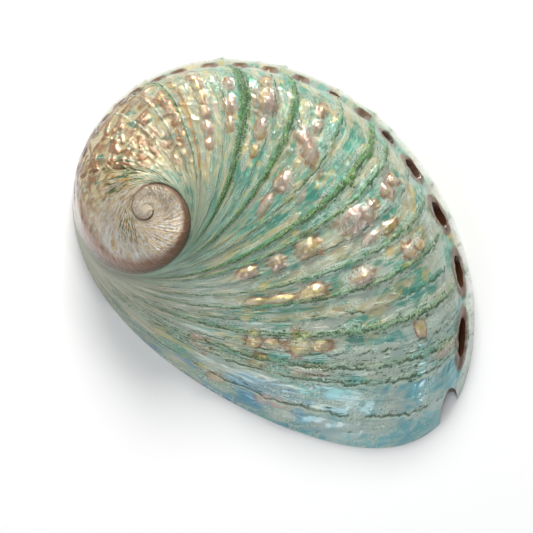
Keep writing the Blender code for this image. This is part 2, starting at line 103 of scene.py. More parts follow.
# Pauses in growth: age in degrees, height in mm, how green and how rusty the line is
pauses = (
    (6.0, 0.5, 0.3, 0), (13.0, 0.7, 0.8, 0), (16.5, 0.5, 0.9, 0), (20.0, 0.6, 0.3, 0),
    (25.0, 0.8, 1.0, 0), (30.0, 0.5, 0.3, 0), (35.7, 0.9, 0.8, 0), (43.2, 0.7, 0.7, 0),
    (50.0, 0.5, 0.3, 0), (58.2, 0.8, 0.8, 0), (63.4, 0.9, 1.2, 0), (74.0, 0.5, 0.7, 0),
    (89.7, 0.9, 1.2, 0), (97.0, 0.5, 0.3, 0), (108.5, 1.1, 1.8, 0), (118.0, 0.5, 0.3, 0),
    (136.7, 1.0, 0.3, 1.0), (141.0, 0.4, 0.8, 0), (152.0, 0.6, 0.4, 0), (166.0, 0.6, 0.4, 0),
    (182.0, 0.6, 0.3, 0), (197.0, 0.6, 0.3, 0),
)

# Knobs by age in degrees: across, length and width in mm, lean in degrees
knobRows = {
    5.0: ((0.43, 4.0, 1.8, 10), (0.52, 4.0, 1.8, 10), (0.55, 5.0, 1.8, 10)),
    15.5: ((0.36, 6.0, 3.0, -15), (0.47, 4.5, 2.6, 10), (0.57, 8.9, 2.2, 5), (0.91, 6.0, 2.0, 0)),
    22.5: ((0.44, 4.0, 3.4, -60), (0.475, 3.4, 2.4, 0), (0.53, 5.8, 4.8, 10), (0.57, 5.2, 2.6, 0),
           (0.81, 5.0, 2.6, 80)),
    38.5: ((0.41, 5.0, 1.8, 0), (0.46, 7.5, 1.8, 0), (0.53, 7.0, 3.6, 0), (0.65, 5.2, 4.8, 0),
           (0.80, 4.2, 3.0, 80), (0.84, 3.0, 2.4, 70)),
    47.0: ((0.69, 6.0, 2.0, 0), (0.74, 6.0, 2.2, 0)),
    54.0: ((0.37, 4.4, 3.4, 0), (0.44, 4.2, 4.0, 80), (0.52, 5.6, 5.2, 0), (0.66, 8.4, 6.6, -30),
           (0.72, 3.4, 2.4, 0), (0.79, 4.0, 2.8, 60), (0.84, 2.8, 2.0, 70)),
    81.0: ((0.44, 6.0, 2.0, 10), (0.52, 5.2, 3.6, 0), (0.65, 12.0, 3.8, 50), (0.73, 3.0, 2.4, 0),
           (0.80, 3.4, 2.6, 0)),
    100.5: ((0.52, 3.4, 2.0, 0), (0.60, 6.0, 2.6, 0), (0.70, 7.0, 6.0, 0), (0.80, 3.4, 2.6, 0)),
    115.0: ((0.56, 3.4, 2.0, 0), (0.64, 4.6, 2.8, 0), (0.74, 3.2, 2.4, 0)),
    127.5: ((0.46, 3.0, 2.0, 0), (0.52, 3.8, 2.6, 0), (0.59, 4.2, 2.6, 0), (0.66, 3.8, 2.6, 0),
            (0.73, 3.8, 2.6, 0), (0.80, 3.6, 2.6, 0)),
    145.0: ((0.48, 3.6, 2.0, 0), (0.55, 3.4, 2.4, 0), (0.62, 4.0, 3.4, 0), (0.70, 3.6, 2.8, 0)),
    161.0: ((0.36, 4.6, 2.0, 20), (0.44, 3.4, 2.2, 0), (0.53, 3.4, 2.4, 0), (0.62, 3.6, 2.6, 0)),
    173.0: ((0.42, 3.4, 2.2, 0), (0.51, 3.8, 2.6, 0), (0.60, 3.8, 2.6, 0), (0.66, 3.4, 2.4, 0)),
    189.0: ((0.41, 3.8, 2.4, 0), (0.50, 3.6, 2.4, 0), (0.59, 3.6, 2.6, 0), (0.69, 3.4, 2.4, 0)),
    201.0: ((0.45, 3.6, 2.4, 0), (0.55, 3.4, 2.4, 0), (0.66, 3.4, 2.4, 0)),
}

# Open holes: age in degrees, length and width in mm. Closed ones by age alone
openHoles = ((13.4, 12.8, 3.0), (25.6, 10.4, 3.0), (37.2, 9.2, 3.2), (48.2, 7.6, 2.8),
             (57.3, 5.2, 2.2), (74.0, 3.6, 2.0))
closedHoles = (65.4, 83.8, 93.0, 102.2, 112.4, 123.4, 131.5, 142.0, 150.0, 160.0, 170.0,
               181.0, 192.0, 203.0)
piercing = {
    "Closed Hole Length": 4.2 * mm,
    "Closed Hole Width": 3.0 * mm,
    "Above": 5.0 * mm,
    "Below": 7.0 * mm,
    "Outward Lean": 0.1,
    "Notch Length": 16.4 * mm,
    "Notch Width": 5.6 * mm,
    "Notch Height": 14.0 * mm,
    "Notch Sink": 2.0 * mm,
    "Plug Top": 1.08,
    "Plug Bottom": 0.85,
}

inside = {
    "wall": 2.4 * mm,
    "rimWidth": 3.2 * mm,
    "ledgeWidth": 11.0 * mm,
    "ledgeSlope": 0.55,
    "ledgeBackSlope": 1.3,
    "ledgeMiddle": 98.0 * deg,
    "ledgeSpread": 62.0 * deg,
    "lipCorner": 8.0 * deg,
    "spokes": 200,
    "rings": 44,
    "smoothing": 14,
    "wallSteps": 14,
    "leastSlope": 0.12,
}


# A number, vector or colour on its way through a node tree, so that a tree is written as
# the formula that it works out
class Wire:
    def __init__(self, socket):
        self.socket = socket
        self.tree = socket.id_data

    def __add__(self, other):
        return number("ADD", self, other)

    def __sub__(self, other):
        return number("SUBTRACT", self, other)

    def __mul__(self, other):
        return number("MULTIPLY", self, other)

    def __truediv__(self, other):
        return number("DIVIDE", self, other)

    def __pow__(self, other):
        return number("POWER", self, other)

    def __radd__(self, other):
        return number("ADD", other, self)

    def __rsub__(self, other):
        return number("SUBTRACT", other, self)

    def __rmul__(self, other):
        return number("MULTIPLY", other, self)

    def __neg__(self):
        return number("MULTIPLY", self, -1.0)


def feed(given, socket):
    if isinstance(given, Wire):
        given.tree.links.new(given.socket, socket)
    elif given is not None:
        socket.default_value = given


def feedAll(node, given):
    for label, value in given.items():
        feed(value, node.inputs[label])


# Adds a node, sets its properties, feeds its inputs and gives back one of its outputs
def addNode(tree, kind, given, outlet=0, **properties):
    node = tree.nodes.new(kind)
    for name, value in properties.items():
        setattr(node, name, value)
    feedAll(node, given)
    return Wire(node.outputs[outlet])


def treeOf(given):
    return next(value.tree for value in given if isinstance(value, Wire))


def number(operation, *given):
    return addNode(treeOf(given), "ShaderNodeMath", dict(enumerate(given)), operation=operation)


def vector(operation, *given):
    labels = (0, "Scale") if operation == "SCALE" else (0, 1)
    outlet = "Value" if operation == "DOT_PRODUCT" else "Vector"
    return addNode(treeOf(given), "ShaderNodeVectorMath", dict(zip(labels, given)), outlet,
                   operation=operation)


def plus(first, second):
    return vector("ADD", first, second)


def minus(first, second):
    return vector("SUBTRACT", first, second)


def scaled(first, factor):
    return vector("SCALE", first, factor)


def unit(first):
    return vector("NORMALIZE", first)


# 1 at nothing, falling towards 0
def decay(wire):
    return number("EXPONENT", -wire)


def joinAxes(*given):
    return addNode(treeOf(given), "ShaderNodeCombineXYZ", dict(enumerate(given)))


def splitAxes(wire):
    whole = addNode(wire.tree, "ShaderNodeSeparateXYZ", {0: wire})
    return [Wire(outlet) for outlet in whole.socket.node.outputs]


def clamped(wire):
    return addNode(wire.tree, "ShaderNodeMath", {0: wire, 1: 1.0}, operation="MULTIPLY", use_clamp=True)


# 0 below low, 1 above high, a smooth rise between; the other way round if low is higher
def between(wire, low, high):
    given = {"Value": wire, "From Min": low, "From Max": high}
    return addNode(wire.tree, "ShaderNodeMapRange", given, "Result", interpolation_type="SMOOTHSTEP")


# The same for an age and limits in degrees
def aged(age, low, high):
    return between(age, low * deg, high * deg)


# A bell that is 1 at the middle and falls off over the spread
def bell(wire, middle, spread, power=2.0):
    off = number("ABSOLUTE", wire - middle) / spread
    return decay(off ** power)


def noise(place, scale, detail=2.0, roughness=0.5, distortion=0.0):
    given = {"Vector": place, "Scale": scale, "Detail": detail, "Roughness": roughness,
             "Distortion": distortion}
    return addNode(place.tree, "ShaderNodeTexNoise", given)


# The attributes that the pattern of the outside follows
patternNames = ("age", "across", "down", "line", "rust", "edge", "knob", "rim", "fold")

# About how long a radian of age, the whole lip and the side are in mm
patternSpan = {"age": 60.0, "across": 170.0, "down": 14.0}


# Where a point is along the growth and across it in mm, for patterns that follow it
def grownPlace(age, across, down, seed):
    aside = across * patternSpan["across"] + down * patternSpan["down"]
    return joinAxes(age * patternSpan["age"], aside, seed)


# Noise drawn out along the growth or across it, by how often it changes in a mm each way
def streaks(grown, alongAge, alongLip, shift=0.0, detail=3.0, roughness=0.6, distortion=0.0):
    stretched = vector("MULTIPLY", grown, (alongAge, alongLip, 1.0))
    if shift:
        stretched = plus(stretched, (0.0, 0.0, shift))
    return noise(stretched, 1.0, detail, roughness, distortion)


# Sets the nodes out in columns, each to the right of what feeds it
def arrange(tree):
    column = {node: 0 for node in tree.nodes}
    for _ in range(60):
        moved = False
        for link in tree.links:
            if column[link.to_node] <= column[link.from_node]:
                column[link.to_node] = column[link.from_node] + 1
                moved = True
        if not moved:
            break
    filled = {}
    for node in tree.nodes:
        place = filled.get(column[node], 0)
        node.location = (column[node] * 190, -place * 170)
        filled[column[node]] = place + 1


# A geometry tree with named inputs, and a wire for each of them
def newTree(name, sizes, outlet, outletKind):
    tree = bpy.data.node_groups.new(name, "GeometryNodeTree")
    for label, value in sizes.items():
        if value in ("Geometry", "Object"):
            tree.interface.new_socket(label, in_out="INPUT", socket_type="NodeSocket" + value)
            continue
        kind = "NodeSocketVector" if isinstance(value, tuple) else "NodeSocketFloat"
        socket = tree.interface.new_socket(label, in_out="INPUT", socket_type=kind)
        socket.default_value = value
    tree.interface.new_socket(outlet, in_out="OUTPUT", socket_type="NodeSocket" + outletKind)
    entry = tree.nodes.new("NodeGroupInput")
    wires = {label: Wire(entry.outputs[label]) for label in sizes}
    return tree, wires, tree.nodes.new("NodeGroupOutput").inputs[outlet]


def turnedFlat(place, angle):
    return addNode(place.tree, "ShaderNodeVectorRotate", {"Vector": place, "Angle": angle},
                   rotation_type="Z_AXIS")


# How far aside the rim runs, from the cosine and sine of its angle, as wires or as arrays
def rimSide(g, c, s):
    return g["Half Width"] * (s * (g["Rim Taper"] * c + 1.0) + g["Rim Bend"] * c * c
                              + g["Rim S Bend"] * c * c * c)


def rimPoint(g, angle):
    c, s = number("COSINE", angle), number("SINE", angle)
    return turnedFlat(joinAxes(g["Half Length"] * c, rimSide(g, c, s), 0.0), g["Rim Turn"])


# How small the shell was at an age, against now
def sizeAt(g, age):
    def soft(value):
        lifted = number("EXPONENT", (value - g["Growth Change"]) / g["Growth Change Spread"])
        return number("LOGARITHM", lifted + 1.0, math.e) * g["Growth Change Spread"]
    change = g["Early Growth Rate"] - g["Growth Rate"]
    shrunk = g["Growth Rate"] * age + change * (soft(age) - soft(age * 0.0))
    return decay(shrunk)


# Away from the apex in plan
def outwardOf(g, x, y):
    apexX, apexY, _ = splitAxes(g["Apex"])
    return unit(joinAxes(x - apexX, y - apexY, 0.0))


# The smooth upper surface as a node group: place from age and share across
def surfaceGroup():
    tree, g, exit = newTree("whorl surface", {"Age": 0.0, "Across": 0.0, **growth}, "Place", "Vector")
    age, across = g["Age"], g["Across"]
    lip = rimPoint(g, g["Lip Start"] + (g["Lip End"] - g["Lip Start"]) * across)
    given = {"Vector": lip, "Center": g["Apex"], "Axis": g["Axis"], "Angle": age}
    turned = addNode(tree, "ShaderNodeVectorRotate", given, rotation_type="AXIS_ANGLE")
    size = sizeAt(g, age)
    grown = minus(turned, g["Apex"])
    x, y, z = splitAxes(plus(scaled(grown, size), g["Apex"]))
    coneHeight = splitAxes(g["Apex"])[2]
    crown = 1.0 - decay(coneHeight / g["Crown Rounding"])
    z = g["Crown Height"] * (1.0 - decay(z / g["Crown Rounding"])) / crown
    edge = clamped((across - g["Shoulder Start"]) / (1.0 - g["Shoulder Start"])) ** 2.0
    risen = 1.0 - decay(age / g["Shoulder Rise"])
    z = z - g["Shoulder Drop"] * size * risen * edge
    coiled = between(age, g["Coil Start"], g["Coil End"])
    z = z + g["Coil Bulge"] * size * coiled * (across * (1.0 - across) * 4.0)
    swell = g["Shoulder Swell"] * bell(age, 26.0 * deg, 13.0 * deg)
    swell = swell - g["Shoulder Tuck"] * bell(age, 125.0 * deg, 50.0 * deg, 4.0)
    swell = swell * aged(age, 0.0, 10.0) * edge
    feed(plus(joinAxes(x, y, z), scaled(outwardOf(g, x, y), swell)), exit)
    arrange(tree)
    return tree


# Uses the surface group inside another tree, its sizes wired to that tree's own inputs
def surfaceAt(g, group, age, across):
    given = {**{label: g[label] for label in growth}, "Age": age, "Across": across}
    return addNode(g["Growth Rate"].tree, "GeometryNodeGroup", given, "Place", node_tree=group)


# Seam where a whorl meets the shoulder of the older whorl
def sutureAt(g, group, age):
    shoulder = surfaceAt(g, group, age + g["Suture Lag"], 1.0)
    first = minus(rimPoint(g, g["Lip Start"]), surfaceAt(g, group, g["Suture Lag"], 1.0))
    x, y, _ = splitAxes(shoulder)
    size = sizeAt(g, age)
    fall = bell(age, 0.0, g["Suture Fall"], 1.3)
    groove = joinAxes(0.0, 0.0, -(g["Suture Groove"] * size))
    step = plus(scaled(outwardOf(g, x, y), g["Suture Step"] * size), groove)
    seam = plus(shoulder, scaled(first, fall))
    return plus(seam, scaled(step, 1.0 - fall))


def attributeWire(tree, name):
    return addNode(tree, "GeometryNodeInputNamedAttribute", {"Name": name}, "Attribute", data_type="FLOAT")


def storeAttribute(geometry, name, value):
    given = {"Name": name, "Geometry": geometry, "Value": value}
    return addNode(geometry.tree, "GeometryNodeStoreNamedAttribute", given, "Geometry",
                   data_type="FLOAT", domain="POINT")


def addTo(geometry, name, amount):
    return storeAttribute(geometry, name, attributeWire(geometry.tree, name) + amount)


def raiseTo(geometry, name, least):
    return storeAttribute(geometry, name, number("MAXIMUM", attributeWire(geometry.tree, name), least))


def setPosition(geometry, place=None, offset=None):
    given = {"Geometry": geometry, "Position": place, "Offset": offset}
    return addNode(geometry.tree, "GeometryNodeSetPosition", given, "Geometry")


def geometryOf(listed):
    return addNode(listed.tree, "GeometryNodeObjectInfo", {"Object": listed}, "Geometry")


# Points listed on another object, read one after the other in a repeat zone. The body gets
# the geometry and a reader of the listed values, and returns the changed geometry
def forEachPoint(geometry, listed, body):
    tree, points = geometry.tree, geometryOf(listed)
    count = addNode(tree, "GeometryNodeAttributeDomainSize", {"Geometry": points}, "Point Count")
    start = tree.nodes.new("GeometryNodeRepeatInput")
    end = tree.nodes.new("GeometryNodeRepeatOutput")
    start.pair_with_output(end)
    feed(count, start.inputs["Iterations"])
    feed(geometry, start.inputs["Geometry"])

    def read(name):
        given = {"Geometry": points, "Value": attributeWire(tree, name),
                 "Index": Wire(start.outputs["Iteration"])}
        return addNode(tree, "GeometryNodeSampleIndex", given, "Value", data_type="FLOAT")

    feed(body(Wire(start.outputs["Geometry"]), read), end.inputs["Geometry"])
    return Wire(end.outputs["Geometry"])


def flattened(wire):
    return vector("MULTIPLY", wire, (1.0, 1.0, 0.0))


# Distance from an oval's middle in plan, in half sizes
def ovalDistance(middle, direction, length, width):
    here = addNode(middle.tree, "GeometryNodeInputPosition", {})
    flat = flattened(minus(here, middle))
    along = vector("DOT_PRODUCT", flat, direction) / (length * 0.5)
    sideways = vector("CROSS_PRODUCT", flat, direction)
    aside = vector("DOT_PRODUCT", sideways, (0.0, 0.0, 1.0)) / (width * 0.5)
    return number("SQRT", along * along + aside * aside)


def mixVector(factor, first, second):
    return addNode(factor.tree, "ShaderNodeMix", {0: factor, 4: first, 5: second}, 1, data_type="VECTOR")


def realized(geometry, material):
    whole = addNode(geometry.tree, "GeometryNodeRealizeInstances", {0: geometry})
    coat = {"Geometry": whole, "Material": bpy.data.materials[material]}
    return addNode(geometry.tree, "GeometryNodeSetMaterial", coat)


# The outside: every point of the flat growth sheet goes to its place on the whorls, then the
# ledges, knobs, hole rims, striae, wrinkles and crust lift it along its normal
def growTree(surface):
    sizes = {"Sheet": "Geometry", "Pauses": "Object", "Knobs": "Object", "Holes": "Object",
             **growth, **relief}
    tree, g, exit = newTree("grow the shell", sizes, "Shell", "Geometry")
    age, across, down = (attributeWire(tree, name) for name in ("age", "across", "down"))
    upper = surfaceAt(g, surface, age, across)
    seam = sutureAt(g, surface, age)
    pull = minus(seam, surfaceAt(g, surface, age, 0.0))
    upper = plus(upper, scaled(pull, clamped(1.0 - across) ** 5.0))
    onRim = rimPoint(g, attributeWire(tree, "footAngle"))
    older = sutureAt(g, surface, age - g["Suture Lag"])
    isOlder = number("GREATER_THAN", age, g["Suture Lag"] + 0.0001)
    drop = minus(mixVector(isOlder, onRim, older), upper)
    flatShare, tallShare = down ** g["Side Rounding"], down ** (1.0 / relief["Side Rounding"])
    step = vector("MULTIPLY", drop, joinAxes(flatShare, flatShare, tallShare))
    shell = setPosition(g["Sheet"], plus(upper, step))

    seed = g["Seed"] * 13.7
    grown = grownPlace(age, across, down, seed)
    ragged = streaks(grown, 0.02, 0.35, 0.0, 4.0, 0.65)
    slow = streaks(grown, 0.01, 0.05, 0.0, 2.0, 0.5)
    wander = ((ragged - 0.5) * 2.4 + (slow - 0.5) * 1.6) * g["Ledge Wander"] * deg
    fan = between(across, 0.0, 0.5) * 0.85 + 0.15
    lumps = streaks(grown, 0.30, 0.30, 0.0, 2.0, 0.5)
    for name in ("lift", "line", "rust", "knob", "rim"):
        shell = storeAttribute(shell, name, 0.0)
    shell = storeAttribute(shell, "edge", farFromEdge)

    # A ledge: the shell rises to the pause and falls off behind it. The attribute edge keeps
    # the distance in mm to the nearest pause
    def pauseStep(geometry, read):
        behind = (age - read("age") + wander) / g["Ledge Run"]
        after = decay(behind)
        profile = between(behind, -0.25, 0.0) + (after - 1.0) * number("GREATER_THAN", behind, 0.0)
        green = read("green")
        streak = bell(behind, 0.12, green * 0.26 + 0.26)
        geometry = addTo(geometry, "lift", profile * read("height") * fan)
        edge, here = attributeWire(tree, "edge"), behind * (g["Ledge Run"] * patternSpan["age"])
        nearer = number("LESS_THAN", number("ABSOLUTE", here), number("ABSOLUTE", edge))
        geometry = addTo(geometry, "edge", (here - edge) * nearer)
        geometry = addTo(geometry, "line", streak * green)
        return addTo(geometry, "rust", streak * read("rust"))

    def knobStep(geometry, read):
        knobAge, knobAcross, width = read("age"), read("across"), read("width")
        middle = surfaceAt(g, surface, knobAge, knobAcross)
        ahead = surfaceAt(g, surface, knobAge, knobAcross + 0.01)
        line = turnedFlat(flattened(minus(ahead, middle)), read("lean"))
        distance = ovalDistance(middle, unit(line), read("length"), width)
        worn = between(knobAge, g["Wear Start"], g["Wear End"])
        distance = distance * (1.0 + (lumps - 0.5) * (worn * g["Worn Lumps"] + g["Knob Lumps"]))
        hump = decay(distance ** g["Knob Roundness"])
        left = 1.0 - worn * g["Knob Wear"]
        geometry = raiseTo(geometry, "knob", bell(distance, 0.0, 1.5, 3.0) * left)
        return addTo(geometry, "lift", hump * width * g["Knob Rise"] * left)

    def holeStep(geometry, read):
        middle = surfaceAt(g, surface, read("age"), 1.0)
        before = surfaceAt(g, surface, read("age") - 0.02, 1.0)
        line = unit(flattened(minus(middle, before)))
        distance = ovalDistance(middle, line, read("length"), read("width"))
        closed = read("closed")
        ring = bell(distance, 1.2, 0.55) * (1.0 - closed)
        ring = ring + bell(distance, 0.0, 1.5) * closed * 0.6
        pit = bell(distance, 0.0, 0.75) * closed * g["Closed Hole Depth"]
        geometry = raiseTo(geometry, "rim", bell(distance, 0.9, 0.85, 3.0))
        calm = 1.0 - bell(distance, 0.0, 1.9, 4.0) * 0.85
        return storeAttribute(geometry, "lift",
                              attributeWire(tree, "lift") * calm + ring * g["Hole Rim"] - pit)

    shell = forEachPoint(shell, g["Pauses"], pauseStep)
    shell = forEachPoint(shell, g["Knobs"], knobStep)
    shell = forEachPoint(shell, g["Holes"], holeStep)
    shell = addTo(shell, "lift", (streaks(grown, 0.9, 0.03) - 0.5) * g["Striae"] * 2.0)
    along, aside = (age * turned[0] + across * turned[1] for turned in foldTurn)
    crumple = noise(joinAxes(along * 0.04, aside * 0.085, seed), 1.0, 1.5, 0.5, 0.9)
    wrinkled = aged(age, 118.0, 160.0) * aged(age, 290.0, 250.0)
    wrinkled = wrinkled * between(across, 0.25, 0.45) * between(down, 0.3, 0.0)
    folds = number("ABSOLUTE", crumple - 0.5)
    shell = storeAttribute(shell, "fold", wrinkled * between(folds, 0.07, 0.02))
    shell = addTo(shell, "lift", wrinkled * between(folds, 0.12, 0.0) * g["Wrinkles"])
    patch = streaks(grown, 0.25, 0.10, 0.0, 5.0, 0.7, 0.6)
    crust = between(patch, 0.53, 0.57) * between(across, 0.08, 0.2) * aged(age, 150.0, 115.0)
    size = number("MINIMUM", sizeAt(g, age) * 1.6, 1.0)
    fade = aged(age, 0.0, 3.0) * between(across, 0.0, 0.08) * between(down, 1.0, 0.25) * size
    fade = fade * (1.0 - aged(age, 190.0, 206.0) * between(across, 0.80, 0.94))
    lift = (attributeWire(tree, "lift") + crust * g["Crust"]) * fade
    normal = addNode(tree, "GeometryNodeInputNormal", {})
    shell = setPosition(shell, offset=scaled(normal, lift))
    feed(realized(shell, "outer nacre"), exit)
    arrange(tree)
    return tree


# Cuts the open holes and the notch with tapered oval plugs, one on each listed point that is not a closed
# hole
def pierceTree(surface):
    sizes = {"Shell": "Geometry", "Outside": "Object", "Holes": "Object", **growth, **piercing}
    tree, g, exit = newTree("pierce the shell", sizes, "Shell", "Geometry")
    age = attributeWire(tree, "age")
    middle = surfaceAt(g, surface, age, 1.0)
    before, after = surfaceAt(g, surface, age - 0.02, 1.0), surfaceAt(g, surface, age + 0.02, 1.0)
    tangent = unit(minus(after, before))
    inward = minus(surfaceAt(g, surface, age, 0.93), middle)
    normal = unit(vector("CROSS_PRODUCT", tangent, inward))
    normal = scaled(normal, number("SIGN", splitAxes(normal)[2]))
    lean = unit(flattened(minus(middle, g["Apex"])))
    lean = scaled(lean, g["Outward Lean"])
    direction = unit(plus(normal, lean))
    isNotch = attributeWire(tree, "notch")
    direction = mixVector(isNotch, direction, (0.0, 0.0, 1.0))
    middle = mixVector(isNotch, middle, rimPoint(g, g["Lip End"]))
    centreShift = (g["Above"] - g["Below"]) * 0.5
    notchShift = g["Notch Height"] * 0.5 - g["Notch Sink"]
    shift = centreShift + (notchShift - centreShift) * isNotch
    centre = plus(middle, scaled(direction, shift))
    tall = g["Above"] + g["Below"]
    tall = tall + (g["Notch Height"] + g["Notch Sink"] * 2.0 - tall) * isNotch
    taper = {"Vertices": 36, "Radius Top": g["Plug Top"], "Radius Bottom": g["Plug Bottom"], "Depth": 1.0}
    plug = addNode(tree, "GeometryNodeMeshCone", taper, "Mesh")
    plug = addNode(tree, "GeometryNodeTransform", {"Geometry": plug, "Translation": (0.0, 0.0, -0.5)})
    upright = addNode(tree, "FunctionNodeAxesToRotation",
                      {"Primary Axis": direction, "Secondary Axis": tangent},
                      primary_axis="Z", secondary_axis="X")
    half = [attributeWire(tree, name) * 0.5 for name in ("length", "width")]
    plugs = addNode(tree, "GeometryNodeInstanceOnPoints", {
        "Points": setPosition(geometryOf(g["Holes"]), centre),
        "Selection": number("LESS_THAN", attributeWire(tree, "closed"), 0.5),
        "Instance": plug, "Rotation": upright, "Scale": joinAxes(*half, tall)})
    cut = addNode(tree, "GeometryNodeMeshBoolean", {
        "Mesh 1": g["Shell"], "Mesh 2": realized(plugs, "hole wall"), "Hole Tolerant": True,
    }, "Mesh", operation="DIFFERENCE", solver="EXACT")

    # The new edges read their pattern values from the outside as it was before the cut
    outside = geometryOf(g["Outside"])
    for name in patternNames:
        given = {"Mesh": outside, "Value": attributeWire(tree, name)}
        nearest = addNode(tree, "GeometryNodeSampleNearestSurface", given, "Value", data_type="FLOAT")
        cut = storeAttribute(cut, name, nearest)
    feed(cut, exit)
    arrange(tree)
    return tree


def newObject(name, data):
    made = bpy.data.objects.new(name, data)
    bpy.context.scene.collection.objects.link(made)
    return made


# A mesh of loose points that carries a list of values for a tree to read
def listedPoints(name, rows, labels):
    mesh = bpy.data.meshes.new(name)
    mesh.vertices.add(len(rows))
    for column, label in enumerate(labels):
        data = mesh.attributes.new(label, "FLOAT", "POINT").data
        data.foreach_set("value", [float(row[column]) for row in rows])
    points = newObject(name, mesh)
    points.hide_render = True
    return points


# Triangles between two lines of points that run side by side, each with its own spacing
def stitch(faces, left, leftAt, right, rightAt):
    i = j = 0
    while i < len(left) - 1 or j < len(right) - 1:
        stepLeft = j == len(right) - 1 or (i < len(left) - 1 and leftAt[i + 1] < rightAt[j + 1])
        if stepLeft:
            faces.append((left[i], right[j], left[i + 1]))
            i += 1
        else:
            faces.append((left[i], right[j], right[j + 1]))
            j += 1


# The flat growth sheet: one block for each whorl, with the blocks stitched together along
# their first rows and along the suture, where an older whorl's foot is the younger one's seam
def growthSheet():
    lag = growth["Suture Lag"]
    values, faces, blocks = [], [], []
    for whorl in range(4):
        density = min(whorl, 2)
        rows, steps, sides = whorlRows[density], whorlSteps[density], sideSteps[density]
        lastRow = rows if whorl < 3 else int(round(rows * oldestShare))
        first = 0 if whorl == 0 else 1
        columns = [(j / steps, 0.0) for j in range(steps + 1)]
        columns += [(1.0, k / sides) for k in range(1, sides + (1 if whorl == 0 else 0))]
        index = np.zeros((lastRow + 1, len(columns)), dtype=int)
        for i in range(first, lastRow + 1):
            for j, (across, down) in enumerate(columns):
                if whorl == 0 and i == lastRow and j == len(columns) - 1:
                    index[i, j] = 0       # the side ends where the lip begins
                    continue
                index[i, j] = len(values)
                values.append(((whorl + i / rows) * lag, across, down))
        ages = (whorl + np.arange(lastRow + 1) / rows) * lag
        at = [across + 0.1 * down for across, down in columns]
        seamLine = list(index[:, 0])
        for i in range(first, lastRow):
            for j in range(len(columns) - 1):
                faces.append((index[i, j], index[i, j + 1], index[i + 1, j + 1], index[i + 1, j]))
        if whorl > 0:
            younger = blocks[-1]
            cut = -1 if whorl == 1 else len(younger["columns"])
            stitch(faces, younger["index"][-1][:cut], younger["at"][:cut], index[1], at)
            seamLine = [younger["index"][-1][0]] + list(index[1:, 0])
            sideLine = [younger["index"][-1][cut - 1 if whorl == 1 else -1]] + list(index[1:, -1])
            last = int(round((len(younger["seam"]) - 1) * lastRow / rows)) + 1
            stitch(faces, sideLine, ages - lag, younger["seam"][:last], younger["ages"][:last])
        blocks.append({"index": index, "at": at, "columns": columns, "ages": ages, "seam": seamLine})
    tip, before = blocks[3], blocks[2]
    opened = int(round((len(before["seam"]) - 1) * oldestShare))
    crown = before["seam"][opened:] + tip["seam"][1:] + list(tip["index"][-1][1:])
    values.append((values[tip["index"][-1][0]][0] + 0.3, 0.5, 0.0))
    for first, second in zip(crown, crown[1:] + crown[:1]):
        faces.append((first, second, len(values) - 1))
    boundary = list(blocks[0]["index"][0]) + list(blocks[0]["index"][1:-1, -1])
    return np.array(values), faces, boundary, blocks[0]


def sheetObject(values, faces):
    mesh = bpy.data.meshes.new("growth sheet")
    mesh.from_pydata(values.tolist(), [], faces)
    for column, name in enumerate(("age", "across", "down")):
        data = mesh.attributes.new(name, "FLOAT", "POINT").data
        data.foreach_set("value", values[:, column].astype(np.float32))
    mesh.attributes.new("footAngle", "FLOAT", "POINT")
    return newObject("growth sheet", mesh)


# Runs a tree on an object and leaves its result as the object's own plain mesh
def runTree(owner, tree, values):
    modifier = owner.modifiers.new(tree.name, "NODES")
    modifier.node_group = tree
    for item in tree.interface.items_tree:
        if item.in_out == "INPUT" and item.name in values:
            modifier[item.identifier] = values[item.name]
    owner.update_tag()
    bpy.context.view_layer.update()
    evaluated = owner.evaluated_get(bpy.context.evaluated_depsgraph_get())
    mesh = bpy.data.meshes.new_from_object(evaluated, preserve_all_data_layers=True,
                                           depsgraph=bpy.context.evaluated_depsgraph_get())
    owner.modifiers.remove(modifier)
    return mesh


def places(mesh):
    flat = np.empty(len(mesh.vertices) * 3)
    mesh.vertices.foreach_get("co", flat)
    return flat.reshape(-1, 3)


# The rim angle straight outward of each shoulder point, so that the side stands square
def footAngles(shoulder):
    g = growth
    angles = np.linspace(inside["lipCorner"], g["Lip Start"] + 2.0 * math.pi, 1200)
    c, s = np.cos(angles), np.sin(angles)
    x = g["Half Length"] * c
    y = rimSide(g, c, s)
    bearing = np.unwrap(np.arctan2(y - g["Apex"][1], x - g["Apex"][0])) + g["Rim Turn"]
    own = np.unwrap(np.arctan2(shoulder[:, 1] - g["Apex"][1], shoulder[:, 0] - g["Apex"][0]))
    reach = (own - own[0]) / (own[-1] - own[0])
    return np.interp(bearing[0] + reach * (bearing[-1] - bearing[0]), bearing, angles)


# Height of the hollow: one wall below the outside, kept over the ground rim and its ledge
def hollowHeight(tree, x, y, fromRim, ledge):
    p = inside
    z = tree.ray_cast(Vector((x, y, -1.0)), Vector((0.0, 0.0, 1.0)))[0].z - p["wall"]
    for _ in range(p["wallSteps"]):
        distance = tree.find_nearest(Vector((x, y, z)))[3]
        if distance < p["wall"]:
            z -= 0.9 * (p["wall"] - distance)
    beyond = max(0.0, fromRim - p["ledgeWidth"])
    ledgeTop = p["ledgeSlope"] * min(fromRim, p["ledgeWidth"]) + p["ledgeBackSlope"] * beyond
    z += (min(z, ledgeTop) - z) * ledge
    return max(z, p["leastSlope"] * fromRim)


